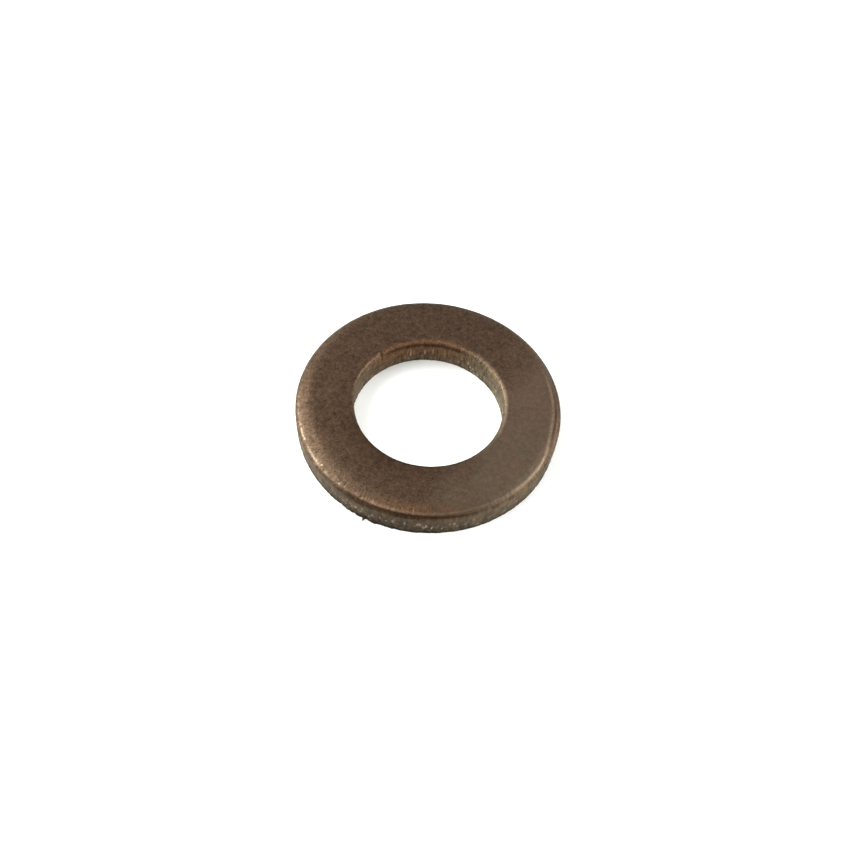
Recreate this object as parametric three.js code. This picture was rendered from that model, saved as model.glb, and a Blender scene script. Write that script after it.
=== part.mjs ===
// A stamped flat washer for an M8 screw, in copper-bronze.
//
// Millimetres, +Z up. The origin is the middle of the hole on the lower face, so the washer lies on
// Z = 0 with its rolled side up. One blow of a compound die cuts the rim and the hole together, so
// both edges have the same layers from top to bottom: a roll-over where the sheet was drawn down
// before it cut, a straight burnished band rubbed by the tool, and a fracture zone that leans away
// from the tool and ends at the lower face.

import * as THREE from "three";

// Driving dimensions.
const OUTER_DIAMETER = 15.0;
const HOLE_DIAMETER = 8.4;
const THICKNESS = 1.8;

// Each edge: how far its roll-over reaches over the top face and down the wall, how flat the
// roll-over is, and how far the wall's fracture zone leans away from the tool at its foot.
const RIM_EDGE = { reach: 1.1, depth: 0.42, flatness: 3.4, lean: 0.02 };
const HOLE_EDGE = { reach: 0.36, depth: 0.32, flatness: 3, lean: 0.08 };

// The top of the fracture zone, above the lower face.
const FRACTURE_HEIGHT = 0.8;

// The tumbled lower corners.
const CORNER_RADIUS = 0.05;

// Facets: around the axis, along each roll-over, and along each quarter circle of a corner.
const SEGMENTS = 96;
const ROLL_STEPS = 7;
const CORNER_STEPS = 2;

const rimRadius = OUTER_DIAMETER / 2;
const holeRadius = HOLE_DIAMETER / 2;

// The points of a roll-over from its wall up to the top face. A superellipse gives it a tight
// shoulder beside the wall and a long shallow tail on the face: the higher the flatness, the
// longer the tail. Outward is +1 for the rim and -1 for the hole.
function rollOver(wallRadius, outward, shape) {
  const points = [];
  for (let i = 0; i <= ROLL_STEPS; i++) {
    const angle = (i / ROLL_STEPS) * (Math.PI / 2);
    const across = Math.cos(angle) ** (2 / shape.flatness);
    const up = Math.sin(angle);
    points.push(new THREE.Vector2(
      wallRadius - outward * shape.reach * (1 - across),
      THICKNESS - shape.depth * (1 - up),
    ));
  }
  return points;
}

// The points of a lower corner from the lower face up to the foot of its wall.
function lowerCorner(footRadius, outward) {
  const points = [];
  for (let i = 0; i <= CORNER_STEPS; i++) {
    const angle = (i / CORNER_STEPS) * (Math.PI / 2);
    points.push(new THREE.Vector2(
      footRadius - outward * CORNER_RADIUS * (1 - Math.sin(angle)),
      CORNER_RADIUS * (1 - Math.cos(angle)),
    ));
  }
  return points;
}

// One edge of the washer from the lower face to the top face.
function edge(wallRadius, outward, shape) {
  return [
    ...lowerCorner(wallRadius - outward * shape.lean, outward),
    new THREE.Vector2(wallRadius, FRACTURE_HEIGHT),
    ...rollOver(wallRadius, outward, shape),
  ];
}

// The closed cross-section: up the rim, across the top face, down the hole and back below.
function crossSection() {
  const rim = edge(rimRadius, +1, RIM_EDGE);
  const hole = edge(holeRadius, -1, HOLE_EDGE).reverse();
  return [...rim, ...hole, rim[0].clone()];
}

function washer() {
  const geometry = new THREE.LatheGeometry(crossSection(), SEGMENTS);
  const material = new THREE.MeshStandardMaterial({
    color: 0x5c4a3c,
    metalness: 0.9,
    roughness: 0.4,
  });
  const mesh = new THREE.Mesh(geometry, material);
  mesh.name = "washer";
  mesh.rotation.x = Math.PI / 2; // a lathe turns about Y
  return mesh;
}

const group = new THREE.Group();
group.add(washer());

export default group;
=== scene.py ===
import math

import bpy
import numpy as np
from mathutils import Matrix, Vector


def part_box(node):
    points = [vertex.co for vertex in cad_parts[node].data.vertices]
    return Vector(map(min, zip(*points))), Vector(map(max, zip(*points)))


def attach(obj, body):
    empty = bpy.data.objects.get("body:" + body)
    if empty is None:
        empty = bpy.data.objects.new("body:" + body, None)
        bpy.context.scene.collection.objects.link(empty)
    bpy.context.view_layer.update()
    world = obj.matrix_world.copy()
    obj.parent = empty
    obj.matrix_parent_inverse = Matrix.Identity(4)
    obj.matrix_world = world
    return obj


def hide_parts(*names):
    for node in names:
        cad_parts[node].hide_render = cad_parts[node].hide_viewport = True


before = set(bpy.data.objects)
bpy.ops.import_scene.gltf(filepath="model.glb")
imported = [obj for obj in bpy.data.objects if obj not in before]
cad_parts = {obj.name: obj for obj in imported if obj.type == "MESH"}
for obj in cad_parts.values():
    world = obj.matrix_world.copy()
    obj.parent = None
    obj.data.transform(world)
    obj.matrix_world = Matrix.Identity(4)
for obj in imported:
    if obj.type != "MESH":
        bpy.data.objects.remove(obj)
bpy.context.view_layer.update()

# A stamped M8 flat washer in dark worn bronze, lying on a white table under soft studio light.
#
# The CAD solid gives the frame: its outside, its hole and its thickness. The piece made here follows
# the same cross-section on a fine grid. Its marks are sunk into that: the torn fracture zone, drag
# marks on the burnished bands, slivers, scratches and dents. Only a burr at the rim's foot stands out.
#
# Lengths are in millimetres until the mesh is made. A turn is an angle round the axis in degrees,
# from +X on the right towards +Y at the back, so the front is at 270. A tilt is how far the surface
# leans away from level, in degrees. A side is +1 at the rim, -1 at the hole and 0 on the flat faces.
# Where a mark fades in or out over a range, the range is given as its two ends.

MM = 0.001
SEED = 8

# The edges of the cross-section, as in the CAD solid: how far each roll-over reaches over the top
# face and down the wall, how flat it is, and how far the wall leans at its foot; then the height of
# the fracture zone and the tumbled lower corners.
RIM_EDGE = {"reach": 1.1, "depth": 0.42, "flatness": 3.4, "lean": 0.02}
HOLE_EDGE = {"reach": 0.36, "depth": 0.32, "flatness": 3, "lean": 0.08}
FRACTURE_HEIGHT = 0.8
CORNER_RADIUS = 0.05

# The die ran off centre, so each roll-over reaches further on one side: the turn of its widest
# place, and how many times its usual reach it has there and on the far side.
RIM_UNEVEN = {"turn": 223, "half_width": 53, "wide": 1.75, "narrow": 0.8}
HOLE_UNEVEN = {"turn": 45, "half_width": 60, "wide": 1.2, "narrow": 0.7}

# The fine mesh: columns round the axis, and rows along each stretch of the cross-section.
COLUMNS = 1100
RIM_ROLL_ROWS = 22
HOLE_ROLL_ROWS = 13
LAND_ROWS = 5
FRACTURE_ROWS = 11
CORNER_ROWS = 3
TOP_ROWS = 10
BOTTOM_ROWS = 3

# How deep each kind of mark is sunk.
TEAR_DEPTH = 0.05
RAGGED_DEPTH = 0.09
DRAG_DEPTH = 0.006
SLIVER_DEPTH = 0.02
SCRATCH_DEPTH = 0.025
SPECK_DEPTH = 0.02
STREAK_DEPTH = 0.006
WOBBLE_DEPTH = 0.004
FACE_DEPTH = 0.006
LIP_PINCH_DEPTH = 0.04

# How much clean metal shows, from 0 to 1: on the torn zone's ridges, on the line along the left
# shoulder, and along the lips. Along the line and the lips it is also a painted highlight.
TORN_CLEAN = 0.35
LINE_CLEAN_AND_HIGHLIGHT = 0.5
LIPS_CLEAN_AND_HIGHLIGHT = 0.22

# Random relief, each as a sum of ripples: strength, lumps round the axis, and height of a lump.
TEAR_LINE = ((0.16, 16, 1), (0.08, 90, 1))
TEAR_RELIEF = ((0.25, 170, 0.5), (0.20, 380, 0.25), (0.20, 240, 0.16))
BURR_FRINGE = ((0.4, 300, 1), (0.3, 90, 1))
ROLL_STREAKS = ((1, 620, 0.5), (0.6, 1000, 0.25))
ROLL_WOBBLE = ((1, 60, 0.4), (0.5, 150, 0.2))
RUBBED_BREAKS = ((1, 160, 1), (1, 420, 1))
FACE_WAVES = ((1, 26, 0.7), (0.5, 70, 0.35))

# The lumps of the ragged lower edge, round the axis and their height, and the drag lines on a wall.
RAGGED_LUMPS = (260, 0.3)
DRAG_LINES = 700

# The fracture zone: how it fades in below its line, how its tufts fade out above the foot, and which
# of its ridges are clean.
TEAR_FADE = (-0.02, 0.14)
TUFT_FADE = (0.04, 0.3)
CLEAN_RIDGES = (0.7, 0.95)

# The tilts where each thing shows. It fades in over the first range and out over the second. The
# walls only fade in.
ROLLED_TILTS = ((2, 12), (60, 85))
WORN_TILTS = ((1, 8), (34, 52))
LINE_TILTS = ((24, 30), (33, 39))
WALL_TILTS = (36, 50)

# Places round the washer: the turn of the middle, and the half width in degrees.
RAGGED_FRONT = (270, 42)
FRONT_WALL_SHADE = (262, 30)
DARK_STRIPE = (356, 23)
RIGHT_EDGE = (14, 26)
RIGHT_SIDE = (15, 25)
NEAR_LIP = (235, 50)
LEFT_SHOULDER = (206, 20)
PINCH_FRONT_END = (341, 11)
PINCH_BACK_END = (13, 9)
LIP_BACK = (98, 26)
LIP_LEFT = (148, 16)
WORN_LIP = (100, 45)
LEAST_WORN_RIM = (170, 22)
FACE_HAZE = (190, 36)

# The haze of wear over the face on the left: the radii that it fades in over, and how strong it is.
HAZE_RADII = (5.5, 6.7)
HAZE_WEAR = 0.4

# Scratches in the hole, from left to right: their turn and how bright they are. Then the ranges of
# their upper end, lower end and half width in degrees.
HOLE_SCRATCHES = ((111, 0.5), (108.3, 0.7), (105.8, 0.5), (97, 1.0), (90.4, 0.5), (80.9, 0.6))
SCRATCH = {"top": (1.0, 1.25), "foot": (0.55, 0.75), "half_turn": (0.35, 0.6)}

# Slivers on each wall: how many there are, and the turn where they are brightest. Then the ranges of
# their middle height, half height, half width and strength, and how far round they are bright.
RIM_SLIVERS = (190, 272)
HOLE_SLIVERS = (60, 55)
SLIVER = {
    "middle": (0.42, 0.98),
    "half_height": (0.05, 0.13),
    "half_width": (0.03, 0.065),
    "strength": (0.3, 1.0),
    "turns_bright": 32,
}

# Bright dents on each roll-over: their turn and radius. Then their half length along the edge, half
# width across it, and how much clean metal shows.
RIM_SPECKS = ((198, 7.28), (205, 7.32), (218, 7.30), (221, 7.24), (233, 7.30), (190, 7.33))
LIP_SPECKS = ((99, 4.38), (87, 4.40))
SPECK = {"half_length": (0.04, 0.09), "half_width": 0.03, "clean": 0.6}

# A nick across the hole's lip, down to the height of its foot.
NICK = {
    "turn": 134.5, "half_turn": 1.3,
    "radius": 4.27, "half_width": 0.12,
    "foot": 1.2, "depth": 0.09,
}

# The burr left along the foot of the rim: where it is largest, and one spike in it.
BURR = {"turn": 248, "half_width": 17, "reach": 0.09, "height": 0.14}
SPIKE = {"turn": 247, "half_width": 0.32, "reach": 0.22}

# Stretches of turns: a middle turn, and where the mark fades in and out, in degrees from there.
# "below" is how far under the top face it lies.
LIP_LINE = {"turn": 95, "rise": (-42, -26), "fall": (28, 40), "below": 0.24, "half_width": 0.06}
LIP_LEDGE = {"turn": 123, "rise": (-12, -9), "fall": (9, 11), "below": 0.34, "half_width": 0.05}
# Under the rim's front lip lies a band of painted shade.
FRONT_BAND_SHADE = {"turn": 262, "rise": (-40, -20), "fall": (20, 50), "below": 0.37, "tilt": 26}
FRONT_LIP = {"turn": 285, "rise": (-48, -30), "fall": (40, 55)}
FAR_LIP = {"turn": 95, "rise": (-40, -22), "fall": (26, 42)}

# The ledge pressed into the rim on the right, in such a stretch. Its inner edge is a line, which
# drifts outward from its radius towards the front, and its outer edge fades out over two radii.
RIM_PINCH = {
    "turn": 350, "rise": (-36, -24), "fall": (22, 42),
    "radius": 6.98, "drift": 0.33, "drift_over": (-2, 24),
    "depth": 0.036, "outer_fade": (7.32, 7.42),
}

# How dark the tarnish and the painted shade are in each place, where 1 is the full painted shade of
# the front band. On the rim the stripe is tarnish, the front wall is painted shade, and the right edge
# and right side are just darker. Beside the hole's near lip the face carries painted shade.
RIM_TARNISH_AND_SHADE = {"stripe": 0.9, "right_edge": 0.7, "right_side": 0.25, "front_wall_shade": 0.85}
NEAR_FACE_SHADE = 0.5

# The washer's colours, as linear red, green and blue. The three of the bore and the tarnish are
# tints that multiply the colour under them. Two of the bore's tints paint light: the pale one on the
# right, and the one at the foot, which paints a reflection. The tarnish tint also paints shade, and
# the clean metal colour also paints highlights.
FACE_RED = (0.060, 0.037, 0.023, 1)
FACE_MOTTLE = (0.073, 0.044, 0.0275, 1)
FACE_ROSE = (0.097, 0.064, 0.044, 1)
FACE_OLIVE = (0.086, 0.065, 0.042, 1)
WORN_RED = (0.078, 0.053, 0.033, 1)
WORN_GREY = (0.096, 0.067, 0.045, 1)
WORN_FRONT = (0.122, 0.064, 0.034, 1)
WALL_DARK = (0.034, 0.024, 0.012, 1)
WALL_PALE = (0.114, 0.076, 0.041, 1)
# Green-black, darkening the walls towards their foot.
WALL_FOOT_DARK = (0.028, 0.028, 0.016, 1)
# Painted light on the right of the hole's wall.
BORE_LIT_RIGHT = (1.22, 1.36, 1.42, 1)
BORE_COPPER = (1.32, 1.02, 0.86, 1)
# A painted reflection of the floor at the foot of the hole's wall.
BORE_FOOT_REFLECTION = (1.45, 1.56, 1.62, 1)
# The tarnish tint, also used for painted shade.
TARNISH_AND_SHADE = (0.40, 0.34, 0.30, 1)
# Clean metal, also used for the painted highlights along the left shoulder and the lips.
FRESH_AND_HIGHLIGHTS = (0.30, 0.245, 0.175, 1)

# The way across the washer that the patina turns grey, and the way to the hole's coppery side.
PATINA_WAY = (0.94, -0.34, 0)
BORE_BACK = (-0.26, 0.97, 0)

# How fine each pattern is, in lumps or streaks per mm.
BLOTCHES_PER_MM = 0.5
MOTTLE_PER_MM = 2.2
PATCHES_PER_MM = 1.3
FOOT_EDGE_PER_MM = 5
WALL_STREAKS_PER_MM = 6
RUBBED_STREAKS_PER_MM = 6

# Where the patina turns grey, as a share of the rim's radius along its way.
PATINA_RANGE = (0.36, 0.64)

# The grain of the patina: how fine it is, and how much lighter or darker it makes a spot. The grain
# has a height too, and it is fainter where the patina is grey.
GRAIN_PER_MM = 11
GRAIN_SWING = 0.37
GRAIN_HEIGHT = 0.007
LUMPS_PER_MM = 4.0
LUMPS_SWING = 0.24
CLOUDS_PER_MM = 0.9
CLOUDS_SWING = 0.08
GREY_GRAIN = 0.42

# The surface, with all values from 0 to 1: roughness from the grain's pits to its tops, how metallic
# it is, and how strongly the walls turn green-black towards their foot.
FACE_ROUGHNESS = (0.50, 0.40)
WALL_ROUGHNESS = 0.7
FACE_METALLIC = 0.95
WALL_METALLIC = 0.75
FOOT_DARK_ON_RIM = 0.8
FOOT_DARK_IN_HOLE = 0.1

# Nearly all of a noise texture's values lie in this range.
NOISE_RANGE = (0.3, 0.7)

# How far out from the hole's wall its tints fade off, over the lip.
BORE_FADE = (0.15, 0.35)

# The setting: the table, 6 m square, and the even light from all around. Then the soft panels, one
# metre away: turn, elevation, width and height in metres, and power in watts.
TABLE_HALF = 3.0
TABLE_WHITE = (0.95, 0.97, 0.94, 1)
TABLE_GLOW = 0.08
SURROUNDING_LIGHT = 0.46
PANELS = {
    "left_panel": (178, 33, 1.3, 1.2, 31.0),
    "back_left_panel": (138, 45, 0.7, 0.7, 3.6),
    "back_right_panel": (45, 45, 0.6, 0.6, 3.0),
    "right_panel": (2, 18, 1.0, 0.8, 17.0),
}

# The view: a 50 mm class lens a hand's breadth away, looking down at the washer. The aim is a little
# to the left of the middle of the hole and below it.
VIEW_ELEVATION = 55.2
VIEW_ROLL = 5.4
VIEW_DISTANCE = 66.0
AIM_LEFT = 0.13
AIM_DOWN = 0.315
LENS = 48.6
SENSOR = 36.0


# ---------------------------------------------------------------------------------------------
# Sizes from the frame

def smallest_radius(node):
    """The smallest distance of a CAD node's surface from the axis, in mm."""
    return min(v.co.xy.length for v in node.data.vertices) / MM


box_low, box_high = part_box("washer")
RIM = box_high.x / MM
HOLE = smallest_radius(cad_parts["washer"])
THICKNESS = box_high.z / MM


# ---------------------------------------------------------------------------------------------
# Random relief

def smooth_step(value, low, high):
    """0 below low, 1 above high, with a smooth rise between them."""
    t = np.clip((value - low) / (high - low), 0, 1)
    return t * t * (3 - 2 * t)


def ripple(rng, turn, height, cells, cell_height):
    """Smooth random values from -1 to 1 over turns and heights.

    There are `cells` lumps round the axis, with no seam, each about cell_height tall.
    """
    lattice_rows = int(np.ptp(height) / cell_height) + 3
    lattice = rng.uniform(-1, 1, (lattice_rows, cells))
    across = turn / 360 * cells
    upward = (height - np.min(height)) / cell_height
    column = np.floor(across).astype(int)
    row = np.floor(upward).astype(int)
    x = smooth_step(across - column, 0, 1)
    y = smooth_step(upward - row, 0, 1)
    left, right = column % cells, (column + 1) % cells
    below = lattice[row, left] * (1 - x) + lattice[row, right] * x
    above = lattice[row + 1, left] * (1 - x) + lattice[row + 1, right] * x
    return below * (1 - y) + above * y


def ripples(rng, turn, height, waves):
    """The sum of several ripples, each given as its strength, cells and cell height."""
    return sum(strength * ripple(rng, turn, height, *lumps) for strength, *lumps in waves)


def bump_at(value, centre, half_width):
    """1 at the centre, falling off smoothly to almost 0 at two half widths from it."""
    return np.exp(-(((value - centre) / half_width) ** 2))


def turn_from(turn, centre):
    """Degrees from the centre, from -180 to 180."""
    return (turn - centre + 180) % 360 - 180


def near_turn(turn, centre, half_width):
    """1 at the centre turn, falling off on both sides of it."""
    return bump_at(turn_from(turn, centre), 0, half_width)


def plateau(value, rise, fall):
    """0 before the rise, 1 between the rise and the fall, 0 after the fall."""
    return smooth_step(value, *rise) * (1 - smooth_step(value, *fall))


def along(turn, stretch):
    """1 along a stretch of turns, fading out at its ends."""
    return plateau(turn_from(turn, stretch["turn"]), stretch["rise"], stretch["fall"])


# ---------------------------------------------------------------------------------------------
# The cross-section

def roll_over(wall_radius, side, shape, rows):
    """Radii and heights of a roll-over from its wall up to the top face."""
    angle = np.linspace(0, math.pi / 2, rows)
    across = np.cos(angle) ** (2 / shape["flatness"])
    radius = wall_radius - side * shape["reach"] * (1 - across)
    height = THICKNESS - shape["depth"] * (1 - np.sin(angle))
    return radius, height


def lower_corner(foot_radius, side):
    """Radii and heights of a lower corner from the lower face up to the foot of its wall."""
    angle = np.linspace(0, math.pi / 2, CORNER_ROWS)
    radius = foot_radius - side * CORNER_RADIUS * (1 - np.sin(angle))
    height = CORNER_RADIUS * (1 - np.cos(angle))
    return radius, height


def edge(wall_radius, side, shape, roll_rows):
    """Radii and heights of one edge of the washer from the lower face to the top face."""
    corner = lower_corner(wall_radius - side * shape["lean"], side)
    fracture = (
        np.linspace(corner[0][-1], wall_radius, FRACTURE_ROWS + 2)[1:-1],
        np.linspace(corner[1][-1], FRACTURE_HEIGHT, FRACTURE_ROWS + 2)[1:-1],
    )
    land = (
        np.full(LAND_ROWS, wall_radius),
        np.linspace(FRACTURE_HEIGHT, THICKNESS - shape["depth"], LAND_ROWS + 1)[:-1],
    )
    shoulder = roll_over(wall_radius, side, shape, roll_rows)
    parts = [corner, fracture, land, shoulder]
    return tuple(np.concatenate([part[i] for part in parts]) for i in (0, 1))


def cross_section():
    """The rows' radii, heights and sides: up the rim, over the top, down the hole and back below."""
    rim_radius, rim_height = edge(RIM, +1, RIM_EDGE, RIM_ROLL_ROWS)
    hole_radius, hole_height = edge(HOLE, -1, HOLE_EDGE, HOLE_ROLL_ROWS)
    top = np.linspace(rim_radius[-1], hole_radius[-1], TOP_ROWS + 2)[1:-1]
    bottom = np.linspace(hole_radius[0], rim_radius[0], BOTTOM_ROWS + 2)[1:-1]
    radius = np.concatenate([rim_radius, top, hole_radius[::-1], bottom])
    height = np.concatenate([
        rim_height,
        np.full(TOP_ROWS, THICKNESS),
        hole_height[::-1],
        np.zeros(BOTTOM_ROWS),
    ])
    side = np.concatenate([
        np.full(len(rim_radius), +1),
        np.zeros(TOP_ROWS),
        np.full(len(hole_radius), -1),
        np.zeros(BOTTOM_ROWS),
    ])
    return radius, height, side


def smooth_grid():
    """The unmarked washer as grids of turn, radius, height and side, one column for each turn."""
    radius, height, side = cross_section()
    shape = (len(radius), COLUMNS)
    turn = np.broadcast_to(np.arange(COLUMNS) * 360 / COLUMNS, shape)
    r = np.broadcast_to(radius[:, None], shape).copy()
    z = np.broadcast_to(height[:, None], shape)
    on_side = np.broadcast_to(side[:, None], shape)
    for s, wall_radius, uneven in ((+1, RIM, RIM_UNEVEN), (-1, HOLE, HOLE_UNEVEN)):
        widest = near_turn(turn, uneven["turn"], uneven["half_width"])
        reach = uneven["narrow"] + (uneven["wide"] - uneven["narrow"]) * widest
        rolled = (on_side == s) & (z > THICKNESS / 2)
        r = np.where(rolled, wall_radius + (r - wall_radius) * reach, r)
    top = np.flatnonzero((side == 0) & (height == THICKNESS))
    share = (np.arange(TOP_ROWS) + 1)[:, None] / (TOP_ROWS + 1)
    r[top] = r[top[0] - 1] * (1 - share) + r[top[-1] + 1] * share
    return turn, r, z, on_side


def inward(r, z):
    """The way into the metal at each point of the grid, as its two components along r and z."""
    run = np.roll(r, -1, axis=0) - np.roll(r, 1, axis=0)
    rise = np.roll(z, -1, axis=0) - np.roll(z, 1, axis=0)
    length = np.hypot(run, rise)
    return -rise / length, run / length


# ---------------------------------------------------------------------------------------------
# Marks. Where a function gives two grids, they are how deep the surface is sunk, and how much clean
# metal shows, from 0 to 1

def torn_zone(rng, turn, z):
    """The fracture zone, torn below an uneven line, with a ragged lower edge."""
    line = FRACTURE_HEIGHT + ripples(rng, turn, np.zeros_like(z), TEAR_LINE)
    torn = smooth_step(line - z, *TEAR_FADE)
    relief = np.clip(0.5 + ripples(rng, turn, z, TEAR_RELIEF), 0, 1)
    tufts = smooth_step(ripple(rng, turn, z, *RAGGED_LUMPS), 0, 1)
    at_foot = 1 - smooth_step(z, *TUFT_FADE)
    ragged = tufts * at_foot * (0.4 + 0.6 * near_turn(turn, *RAGGED_FRONT))
    sink = torn * TEAR_DEPTH * (1 - relief) + RAGGED_DEPTH * ragged
    return sink, TORN_CLEAN * torn * smooth_step(relief, *CLEAN_RIDGES)


def burr(rng, turn, z):
    """How far the ragged burr stands out along the foot of the rim."""
    ragged = 0.6 + ripples(rng, turn, np.zeros_like(z), BURR_FRINGE)
    fringe = BURR["reach"] * ragged * near_turn(turn, BURR["turn"], BURR["half_width"])
    spike = SPIKE["reach"] * near_turn(turn, SPIKE["turn"], SPIKE["half_width"])
    return (fringe + spike) * bump_at(z, 0, BURR["height"])


def slivers(rng, turn, z, wall_radius, count, brightest):
    """Short upright slivers of clean metal, scattered over the middle of a wall."""
    sink = np.zeros_like(z)
    clean = np.zeros_like(z)
    for _ in range(count):
        place = rng.uniform(0, 360)
        middle = rng.uniform(*SLIVER["middle"])
        half_height = rng.uniform(*SLIVER["half_height"])
        half_width = math.degrees(rng.uniform(*SLIVER["half_width"]) / wall_radius)
        strength = rng.uniform(*SLIVER["strength"])
        strength = strength * (0.35 + 0.65 * near_turn(place, brightest, SLIVER["turns_bright"]))
        mark = strength * near_turn(turn, place, half_width) * bump_at(z, middle, half_height)
        clean = np.maximum(clean, mark)
        sink = np.maximum(sink, SLIVER_DEPTH * mark)
    return sink, clean


def scratches(rng, turn, z):
    """Upright scratches on the far wall of the hole."""
    sink = np.zeros_like(z)
    clean = np.zeros_like(z)
    for place, strength in HOLE_SCRATCHES:
        top = rng.uniform(*SCRATCH["top"])
        foot = rng.uniform(*SCRATCH["foot"])
        half_turn = rng.uniform(*SCRATCH["half_turn"])
        upright = plateau(z, (foot - 0.1, foot), (top, top + 0.12))
        mark = near_turn(turn, place, half_turn) * upright
        clean = np.maximum(clean, strength * mark)
        sink = np.maximum(sink, SCRATCH_DEPTH * mark)
    return sink, clean


def rolled_marks(rng, turn, r):
    """Streaks across the roll-over, and a slow wobble along it, with enough added to stay sunk."""
    streaks = ripples(rng, turn, r, ROLL_STREAKS)
    wobble = ripples(rng, turn, r, ROLL_WOBBLE)
    wide_side = 0.35 + 0.65 * near_turn(turn, RIM_UNEVEN["turn"], 60)
    return STREAK_DEPTH * wide_side * (1.6 + streaks) + WOBBLE_DEPTH * (1.5 + wobble)


def specks(rng, turn, r, places):
    """Small bright dents on a roll-over."""
    sink = np.zeros_like(r)
    clean = np.zeros_like(r)
    for place, radius in places:
        half_width = math.degrees(rng.uniform(*SPECK["half_length"]) / radius)
        mark = near_turn(turn, place, half_width) * bump_at(r, radius, SPECK["half_width"])
        clean = np.maximum(clean, SPECK["clean"] * mark)
        sink = np.maximum(sink, SPECK_DEPTH * mark)
    return sink, clean


def pinch_line(turn):
    """The radius of the line pressed into the rim's roll-over on the right."""
    towards_front = -turn_from(turn, RIM_PINCH["turn"])
    drifted = smooth_step(towards_front, *RIM_PINCH["drift_over"])
    return RIM_PINCH["radius"] + RIM_PINCH["drift"] * drifted


def pinch_rim(rng, turn, r):
    """A narrow ledge pressed into the rim's roll-over on the right, deeper in some places."""
    uneven = 0.75 + 0.4 * ripple(rng, turn, np.zeros_like(r), 90, 1)
    line = pinch_line(turn)
    across = plateau(r, (line - 0.03, line + 0.08), RIM_PINCH["outer_fade"])
    return RIM_PINCH["depth"] * along(turn, RIM_PINCH) * uneven * across


def pinch_lip(turn, z):
    """A line pressed in under the hole's lip at the back, with a ledge at its left end."""
    sink = np.zeros_like(z)
    for mark in (LIP_LINE, LIP_LEDGE):
        across = bump_at(z, THICKNESS - mark["below"], mark["half_width"])
        sink = sink + LIP_PINCH_DEPTH * along(turn, mark) * across
    return sink


def nick(turn, r, z):
    """A nick that crosses the hole's lip."""
    turned = turn_from(turn, NICK["turn"]) / NICK["half_turn"]
    out = (r - NICK["radius"]) / NICK["half_width"]
    return NICK["depth"] * np.exp(-(turned ** 2 + out ** 2)) * (z > NICK["foot"])


def front_band_shade(turn, z, tilt):
    """The painted shade under the rim's front lip, a dark band standing in for a dark reflection: it
    starts lower on the right, and is narrower there.
    """
    turned = turn_from(turn, FRONT_BAND_SHADE["turn"])
    top = FRONT_BAND_SHADE["tilt"] + 14 * smooth_step(turned, 5, 35)
    raised_on_right = 0.1 * smooth_step(turned, 3, 12)
    lowered_on_left = 0.28 * smooth_step(-turned, 6, 24)
    foot = THICKNESS - FRONT_BAND_SHADE["below"] + raised_on_right - lowered_on_left
    across = smooth_step(tilt, top, top + 8) * smooth_step(z, foot - 0.06, foot)
    return across * along(turn, FRONT_BAND_SHADE)


def rim_tarnish_and_shade(turn, r, z, tilt):
    """How dark the rim's tarnish and painted shade are, from 0 to 1.

    In front that is painted shade, under its lip and on its wall. On the right there is tarnish in a
    stripe outside the pressed line, and the rim is darker along the edge and, more faintly, over the
    whole roll-over.
    """
    outside = plateau(r - pinch_line(turn), (0.12, 0.17), (0.27, 0.35))
    stripe = outside * near_turn(turn, *DARK_STRIPE)
    right_edge = smooth_step(tilt, 26, 40) * near_turn(turn, *RIGHT_EDGE)
    right_side = smooth_step(r, 6.7, 6.9) * near_turn(turn, *RIGHT_SIDE)
    # Painted shade on the rim's front wall, darker where less light falls on it.
    front_wall_shade = smooth_step(tilt, 60, 80) * near_turn(turn, *FRONT_WALL_SHADE)
    front_wall_shade = front_wall_shade * (1 - 0.12 * smooth_step(z, 0.5, 1.0))
    return np.maximum.reduce([
        front_band_shade(turn, z, tilt),
        RIM_TARNISH_AND_SHADE["stripe"] * stripe,
        RIM_TARNISH_AND_SHADE["right_edge"] * right_edge,
        RIM_TARNISH_AND_SHADE["right_side"] * right_side,
        RIM_TARNISH_AND_SHADE["front_wall_shade"] * front_wall_shade,
    ])


def hole_painted_shade(turn, r, z):
    """Where the hole's lips are painted darker: painted shade in a dark line under its far lip, and on
    the face beside its near lip.
    """
    # Painted shade in a line under the far lip, where the lip overhangs.
    line = plateau(THICKNESS - z, (0.11, 0.18), (0.31, 0.40)) * along(turn, FAR_LIP)
    # Painted shade on the face beside the hole's near lip, at the front.
    near = (1 - smooth_step(r, 4.4, 6.0)) * near_turn(turn, *NEAR_LIP)
    return np.maximum(line, NEAR_FACE_SHADE * near)


def rubbed_highlight_line(rng, turn, tilt):
    """The broken line along the rim's shoulder on the left, from 0 to 1: rubbed clean metal that also
    paints a highlight.
    """
    shoulder = plateau(tilt, *LINE_TILTS)
    broken = smooth_step(ripples(rng, turn, np.zeros_like(turn), RUBBED_BREAKS), -0.6, 0.8)
    return shoulder * broken * near_turn(turn, *LEFT_SHOULDER)


def rubbed_highlights_rim(turn, r, tilt):
    """The thin lines of cleaner metal along the rim, which are also painted highlights: its front lip,
    and at the pressed line's ends.
    """
    front = bump_at(tilt, 24, 5) * along(turn, FRONT_LIP)
    front_end = 0.55 * bump_at(r, 7.41, 0.03) * near_turn(turn, *PINCH_FRONT_END)
    back_end = 1.2 * bump_at(r, pinch_line(turn) + 0.05, 0.05) * near_turn(turn, *PINCH_BACK_END)
    return np.maximum.reduce([front, front_end, back_end])


def rubbed_highlights_lip(turn, tilt):
    """The thin lines of cleaner metal along the hole's lip, at the back and on the left, which are also
    painted highlights.
    """
    back = bump_at(tilt, 28, 16) * near_turn(turn, *LIP_BACK)
    left = bump_at(tilt, 30, 8) * near_turn(turn, *LIP_LEFT)
    return np.maximum(back, left)


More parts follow.
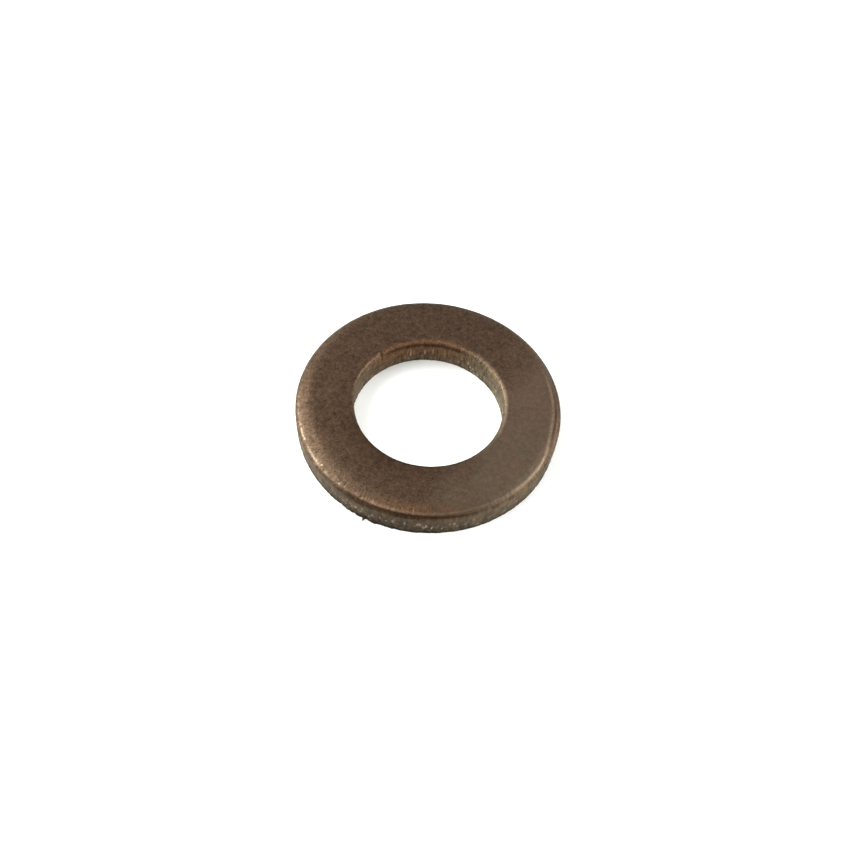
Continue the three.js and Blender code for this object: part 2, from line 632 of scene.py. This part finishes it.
def worn_places(turn, r, tilt, side):
    """Where the upper side is rubbed, from 0 to 1.

    That is the rim's roll-over, the hole's lip at the back, and a haze over the face on the left.
    """
    across = plateau(tilt, *WORN_TILTS)
    rim = across * (1 - 0.5 * near_turn(turn, *LEAST_WORN_RIM))
    lip = across * near_turn(turn, *WORN_LIP)
    haze = HAZE_WEAR * smooth_step(r, *HAZE_RADII) * near_turn(turn, *FACE_HAZE)
    return np.maximum(np.where(side == -1, lip, rim), (side == 0) * haze)


def wall_marks(rng, turn, z, side):
    """The torn zone, the slivers and the drag marks of the two walls."""
    sink = np.zeros_like(z)
    clean = np.zeros_like(z)
    for s, wall_radius, marks in ((+1, RIM, RIM_SLIVERS), (-1, HOLE, HOLE_SLIVERS)):
        on_wall = (side == s) * plateau(z, (0.0, 0.03), (1.1, 1.3))
        torn_sink, torn_clean = torn_zone(rng, turn, z)
        sliver_sink, sliver_clean = slivers(rng, turn, z, wall_radius, *marks)
        drag = DRAG_DEPTH * (1 + ripple(rng, turn, np.zeros_like(z), DRAG_LINES, 1))
        sink = sink + on_wall * (torn_sink + sliver_sink + drag)
        clean = np.maximum(clean, on_wall * np.maximum(torn_clean, sliver_clean))
    return sink, clean


def roll_marks(rng, turn, r, z, tilt, side):
    """The streaks, dents, pressed lines and nick of the two roll-overs."""
    sink = plateau(tilt, *ROLLED_TILTS) * rolled_marks(rng, turn, r)
    clean = np.zeros_like(z)
    for s, places in ((+1, RIM_SPECKS), (-1, LIP_SPECKS)):
        speck_sink, speck_clean = specks(rng, turn, r, places)
        sink = sink + (side == s) * speck_sink
        clean = np.maximum(clean, (side == s) * speck_clean)
    sink = sink + (side == 1) * pinch_rim(rng, turn, r)
    sink = sink + (side == -1) * (pinch_lip(turn, z) + nick(turn, r, z))
    return sink, clean


def washer_shape():
    """The fine washer: a grid of points and the masks that its material reads."""
    rng = np.random.default_rng(SEED)
    turn, r, z, side = smooth_grid()
    into_r, into_z = inward(r, z)
    tilt = np.degrees(np.arccos(np.clip(-into_z, 0, 1)))
    upper = z > THICKNESS / 2

    wall_sink, wall_clean = wall_marks(rng, turn, z, side)
    stand_out = (side == 1) * burr(rng, turn, z)
    scratch_sink, scratch_clean = scratches(rng, turn, z)
    roll_sink, roll_clean = roll_marks(rng, turn, r, z, tilt, side)
    left_line = (side == 1) * rubbed_highlight_line(rng, turn, tilt)
    waves = (side == 0) * (1.5 + ripples(rng, turn, r, FACE_WAVES))

    in_hole = side == -1
    sink = wall_sink + in_hole * scratch_sink + upper * (roll_sink + FACE_DEPTH * waves)
    lips = np.select([side == 1, in_hole], [rubbed_highlights_rim(turn, r, tilt), rubbed_highlights_lip(turn, tilt)], 0)
    # Clean metal, and painted highlights along the left shoulder and the lips.
    clean_and_highlights = np.maximum.reduce([
        wall_clean,
        in_hole * scratch_clean,
        upper * roll_clean,
        upper * LINE_CLEAN_AND_HIGHLIGHT * left_line,
        upper * LIPS_CLEAN_AND_HIGHLIGHT * lips,
    ])
    # Tarnish on the rim's right; painted shade in front of the rim, under the hole's far lip and beside
    # its near lip.
    tarnish_and_shade = np.where(side == 1, rim_tarnish_and_shade(turn, r, z, tilt), upper * hole_painted_shade(turn, r, z))
    masks = {
        "clean_and_highlights": clean_and_highlights,
        "worn": upper * worn_places(turn, r, tilt, side),
        "wall": smooth_step(tilt, *WALL_TILTS),
        "tarnish_and_shade": tarnish_and_shade,
    }
    angle = np.radians(turn)
    marked_r = r + into_r * sink + stand_out
    marked_z = z + into_z * sink
    points = np.stack([marked_r * np.cos(angle), marked_r * np.sin(angle), marked_z], -1)
    return points * MM, masks


def grid_faces(rows, columns):
    """The quads of a grid whose last row and last column join its first ones."""
    row, column = np.meshgrid(np.arange(rows), np.arange(columns), indexing="ij")
    above, beside = (row + 1) % rows, (column + 1) % columns
    corners = [(row, column), (row, beside), (above, beside), (above, column)]
    return np.stack([i * columns + j for i, j in corners], -1).reshape(-1, 4)


def make_washer():
    points, masks = washer_shape()
    mesh = bpy.data.meshes.new("washer_surface")
    faces = grid_faces(*points.shape[:2])
    mesh.from_pydata(points.reshape(-1, 3).tolist(), [], faces.tolist())
    mesh.shade_smooth()
    for name, values in masks.items():
        layer = mesh.attributes.new(name, "FLOAT", "POINT")
        layer.data.foreach_set("value", values.astype(np.float32).ravel())
    mesh.materials.append(worn_bronze())
    piece = bpy.data.objects.new("washer_surface", mesh)
    bpy.context.scene.collection.objects.link(piece)
    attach(piece, "root")
    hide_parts("washer")


# ---------------------------------------------------------------------------------------------
# Materials

class Graph:
    """Adds nodes to a material's tree. An input is a plain value, or a socket to link."""

    def __init__(self, name):
        self.material = bpy.data.materials.new(name)
        self.material.use_nodes = True
        self.tree = self.material.node_tree
        self.shader = self.tree.nodes["Principled BSDF"]

    def put(self, socket, value):
        if isinstance(value, bpy.types.NodeSocket):
            self.tree.links.new(value, socket)
        else:
            socket.default_value = value

    def add(self, kind, inputs, **settings):
        node = self.tree.nodes.new("ShaderNode" + kind)
        for name, value in settings.items():
            setattr(node, name, value)
        for name, value in inputs.items():
            self.put(node.inputs[name], value)
        return node

    def mask(self, name):
        return self.add("Attribute", {}, attribute_name=name).outputs["Fac"]

    def noise(self, vector, per_mm, detail=2.0):
        inputs = {"Vector": vector, "Scale": per_mm, "Detail": detail}
        return self.add("TexNoise", inputs).outputs["Fac"]

    def scaled(self, vector, x, y, z):
        inputs = {0: vector, 1: (x, y, z)}
        return self.add("VectorMath", inputs, operation="MULTIPLY").outputs["Vector"]

    def part(self, vector, axis):
        return self.add("SeparateXYZ", {0: vector}).outputs[axis]

    def dot(self, a, b):
        return self.add("VectorMath", {0: a, 1: b}, operation="DOT_PRODUCT").outputs["Value"]

    def math(self, operation, a, b=0.0):
        return self.add("Math", {0: a, 1: b}, operation=operation).outputs["Value"]

    def spread(self, value, low, high, to_low=0.0, to_high=1.0):
        """value moved from the range low to high into another range, and held inside it."""
        inputs = {"Value": value, "From Min": low, "From Max": high}
        inputs |= {"To Min": to_low, "To Max": to_high}
        return self.add("MapRange", inputs).outputs["Result"]

    def swing(self, vector, per_mm, amount):
        """Noise from -amount to amount."""
        return self.spread(self.noise(vector, per_mm), *NOISE_RANGE, -amount, amount)

    def mix(self, factor, a, b, blend="MIX"):
        node = self.add("Mix", {"Factor": factor}, data_type="RGBA", blend_type=blend)
        self.put(node.inputs[6], a)
        self.put(node.inputs[7], b)
        return node.outputs[2]

    def tinted(self, colour, tint):
        return self.mix(1.0, colour, tint, "MULTIPLY")


def washer_places(g):
    """The place on the washer in mm, and the same place moved out to the rim, for marks on walls."""
    place = g.add("TexCoord", {}).outputs["Object"]
    place = g.scaled(place, 1 / MM, 1 / MM, 1 / MM)
    flat = g.scaled(place, 1, 1, 0)
    around = g.add("VectorMath", {0: flat}, operation="NORMALIZE").outputs["Vector"]
    around = g.scaled(around, RIM, RIM, RIM)
    return place, around


def patina_of(g, place):
    """How grey and pale the patina is, from 0 on the left to 1 on the lower right."""
    across = g.dot(place, [part / RIM for part in PATINA_WAY])
    uneven = g.math("ADD", across, g.swing(place, BLOTCHES_PER_MM, 0.08))
    return g.spread(uneven, *PATINA_RANGE)


def face_colour(g, place, patina):
    """Brown bronze, redder on the left and rosier on the right, with olive patches in front there."""
    mottle = g.spread(g.noise(place, MOTTLE_PER_MM), 0.35, 0.65, 0, 0.8)
    patches = g.spread(g.noise(place, PATCHES_PER_MM, 3), 0.36, 0.64)
    front = g.spread(g.part(place, "Y"), 0.1 * RIM, -0.35 * RIM)
    right = g.mix(g.math("MULTIPLY", patches, front), FACE_ROSE, FACE_OLIVE)
    return g.mix(patina, g.mix(mottle, FACE_RED, FACE_MOTTLE), right)


def worn_colour(g, place, patina):
    """The rubbed roll-over: tan on the left, grey on the right and coppery in front."""
    front = g.spread(g.part(place, "Y"), -0.84 * RIM, -0.93 * RIM)
    return g.mix(front, g.mix(patina, WORN_RED, WORN_GREY), WORN_FRONT)


def bore_of(g, place):
    """1 on the hole's wall and lip, 0 further out."""
    flat = g.scaled(place, 1, 1, 0)
    from_axis = g.add("VectorMath", {0: flat}, operation="LENGTH").outputs["Value"]
    fade_start, fade_end = BORE_FADE
    return g.spread(from_axis, HOLE + fade_start, HOLE + fade_end, 1, 0)


def wall_colour(g, place, around, bore):
    """Brown walls with upright streaks, green-black along the foot, but less so inside the hole."""
    slow_rise = g.scaled(place, 0, 0, 0.3)
    streaks = g.add("VectorMath", {0: around, 1: slow_rise}, operation="ADD").outputs["Vector"]
    height = g.part(place, "Z")
    burnish = g.spread(height, FRACTURE_HEIGHT - 0.1, FRACTURE_HEIGHT + 0.25, 0, 0.3)
    drag = g.spread(g.noise(streaks, WALL_STREAKS_PER_MM), 0.35, 0.65, burnish, 1)
    colour = g.mix(drag, WALL_DARK, WALL_PALE)
    uneven_height = g.math("ADD", height, g.swing(around, FOOT_EDGE_PER_MM, 0.1))
    foot = g.spread(uneven_height, 0.08, 0.35, 1, 0)
    foot_strength = g.spread(bore, 0, 1, FOOT_DARK_ON_RIM, FOOT_DARK_IN_HOLE)
    return g.mix(g.math("MULTIPLY", foot, foot_strength), colour, WALL_FOOT_DARK)


def bore_colour(g, place, bore, colour):
    """The colour, tinted in the hole: paler on the right with painted light, coppery at the back, and
    pale at the foot with a painted reflection of the floor.
    """
    height = g.part(place, "Z")
    right = g.spread(g.part(place, "X"), 0.4 * HOLE, 0.9 * HOLE)
    back = g.spread(g.dot(place, BORE_BACK), 0.66 * HOLE, 0.95 * HOLE)
    back = g.math("MULTIPLY", back, g.spread(height, 0.3, 0.9, 0.3, 1))
    foot = g.spread(height, 0.3, 0.8, 1, 0)
    # Painted light on the right and a painted reflection at the foot; the copper at the back is the
    # metal's own.
    for where, tint in ((right, BORE_LIT_RIGHT), (back, BORE_COPPER), (foot, BORE_FOOT_REFLECTION)):
        colour = g.mix(g.math("MULTIPLY", bore, where), colour, g.tinted(colour, tint))
    return colour


def grain_light(g, place, patina, grain):
    """How light the patina is, from spot to spot: fine grain, lumps and clouds, fainter where grey."""
    fine = g.spread(grain, *NOISE_RANGE, -GRAIN_SWING, GRAIN_SWING)
    lumps = g.swing(place, LUMPS_PER_MM, LUMPS_SWING)
    clouds = g.swing(place, CLOUDS_PER_MM, CLOUDS_SWING)
    swing = g.math("ADD", g.math("ADD", fine, lumps), clouds)
    strength = g.spread(patina, 0, 1, 1, GREY_GRAIN)
    return g.math("ADD", 1.0, g.math("MULTIPLY", swing, strength))


def bronze_colour(g, place, around, grain):
    """The washer's colour, one layer over the other: patina, rubbed edges, walls, tarnish and painted
    shade, clean metal and painted highlights, then the hole's tints, two of them painted light.
    """
    patina = patina_of(g, place)
    bore = bore_of(g, place)
    streaks = g.spread(g.noise(around, RUBBED_STREAKS_PER_MM), 0.35, 0.7, 0.4, 1)
    rubbed = g.math("MULTIPLY", g.mask("worn"), streaks)
    colour = g.mix(rubbed, face_colour(g, place, patina), worn_colour(g, place, patina))
    colour = g.mix(g.mask("wall"), colour, wall_colour(g, place, around, bore))
    # The tarnish tint, which also paints the shade in front and at the hole's lips.
    colour = g.mix(g.mask("tarnish_and_shade"), colour, g.tinted(colour, TARNISH_AND_SHADE))
    # Clean metal, with the painted highlights on the left shoulder and the lips.
    colour = g.mix(g.mask("clean_and_highlights"), colour, FRESH_AND_HIGHLIGHTS)
    colour = bore_colour(g, place, bore, colour)
    return g.tinted(colour, grain_light(g, place, patina, grain))


def worn_bronze():
    """Worn bronze with a grainy patina, rougher and less metallic on the walls."""
    g = Graph("worn_bronze")
    place, around = washer_places(g)
    grain = g.noise(place, GRAIN_PER_MM, 3)
    wall = g.mask("wall")
    rough = g.spread(grain, *NOISE_RANGE, *FACE_ROUGHNESS)
    rough = g.add("Mix", {"Factor": wall, "A": rough, "B": WALL_ROUGHNESS}).outputs["Result"]
    bump = g.add("Bump", {"Height": grain, "Distance": GRAIN_HEIGHT * MM, "Strength": 1.0})

    shader = g.shader
    g.put(shader.inputs["Base Color"], bronze_colour(g, place, around, grain))
    g.put(shader.inputs["Metallic"], g.spread(wall, 0, 1, FACE_METALLIC, WALL_METALLIC))
    g.put(shader.inputs["Roughness"], rough)
    g.put(shader.inputs["Specular IOR Level"], 0.3)
    g.put(shader.inputs["Normal"], bump.outputs["Normal"])
    return g.material


def white_table():
    """A plain white table. Its faint glow keeps the shadows on it pale."""
    g = Graph("white_table")
    g.put(g.shader.inputs["Base Color"], TABLE_WHITE)
    g.put(g.shader.inputs["Roughness"], 0.9)
    g.put(g.shader.inputs["Emission Color"], (1, 1, 1, 1))
    g.put(g.shader.inputs["Emission Strength"], TABLE_GLOW)
    g.put(g.shader.inputs["Specular IOR Level"], 0.0)
    return g.material


# ---------------------------------------------------------------------------------------------
# Floor, light and camera

def make_floor():
    mesh = bpy.data.meshes.new("floor")
    half = TABLE_HALF
    corners = [(-half, -half, 0), (half, -half, 0), (half, half, 0), (-half, half, 0)]
    mesh.from_pydata(corners, [], [(0, 1, 2, 3)])
    mesh.materials.append(white_table())
    floor = bpy.data.objects.new("floor", mesh)
    bpy.context.scene.collection.objects.link(floor)


def softbox(name, turn, elevation, width, height, power):
    """A soft panel one metre away that faces the washer."""
    data = bpy.data.lights.new(name, "AREA")
    data.shape = "RECTANGLE"
    data.size = width
    data.size_y = height
    data.energy = power
    light = bpy.data.objects.new(name, data)
    bpy.context.scene.collection.objects.link(light)
    a, e = math.radians(turn), math.radians(elevation)
    way = Vector((math.cos(a) * math.cos(e), math.sin(a) * math.cos(e), math.sin(e)))
    light.location = way
    light.rotation_mode = "QUATERNION"
    light.rotation_quaternion = way.to_track_quat("Z", "Y")
    light.visible_camera = False


def make_lights():
    world = bpy.data.worlds.new("studio")
    bpy.context.scene.world = world
    world.use_nodes = True
    background = world.node_tree.nodes["Background"]
    background.inputs["Color"].default_value = (1, 1, 1, 1)
    background.inputs["Strength"].default_value = SURROUNDING_LIGHT
    for name, panel in PANELS.items():
        softbox(name, *panel)


def make_camera():
    elevation = math.radians(VIEW_ELEVATION)
    roll = math.radians(VIEW_ROLL)
    back = Vector((0, -math.cos(elevation), math.sin(elevation)))
    level = Vector((1, 0, 0))
    rise = back.cross(level)
    right = math.cos(roll) * level + math.sin(roll) * rise
    up = math.cos(roll) * rise - math.sin(roll) * level
    place = back * VIEW_DISTANCE
    aim = -AIM_LEFT * right - AIM_DOWN * up
    look = (place - aim).normalized()
    right = up.cross(look).normalized()
    up = look.cross(right)
    data = bpy.data.cameras.new("camera")
    data.lens = LENS
    data.sensor_width = SENSOR
    data.clip_start = 0.001
    camera = bpy.data.objects.new("camera", data)
    bpy.context.scene.collection.objects.link(camera)
    axes = Matrix((right, up, look)).transposed().to_4x4()
    camera.matrix_world = Matrix.Translation(place * MM) @ axes
    bpy.context.scene.camera = camera


make_floor()
make_lights()
make_camera()
make_washer()
bpy.context.scene.view_settings.view_transform = "Standard"
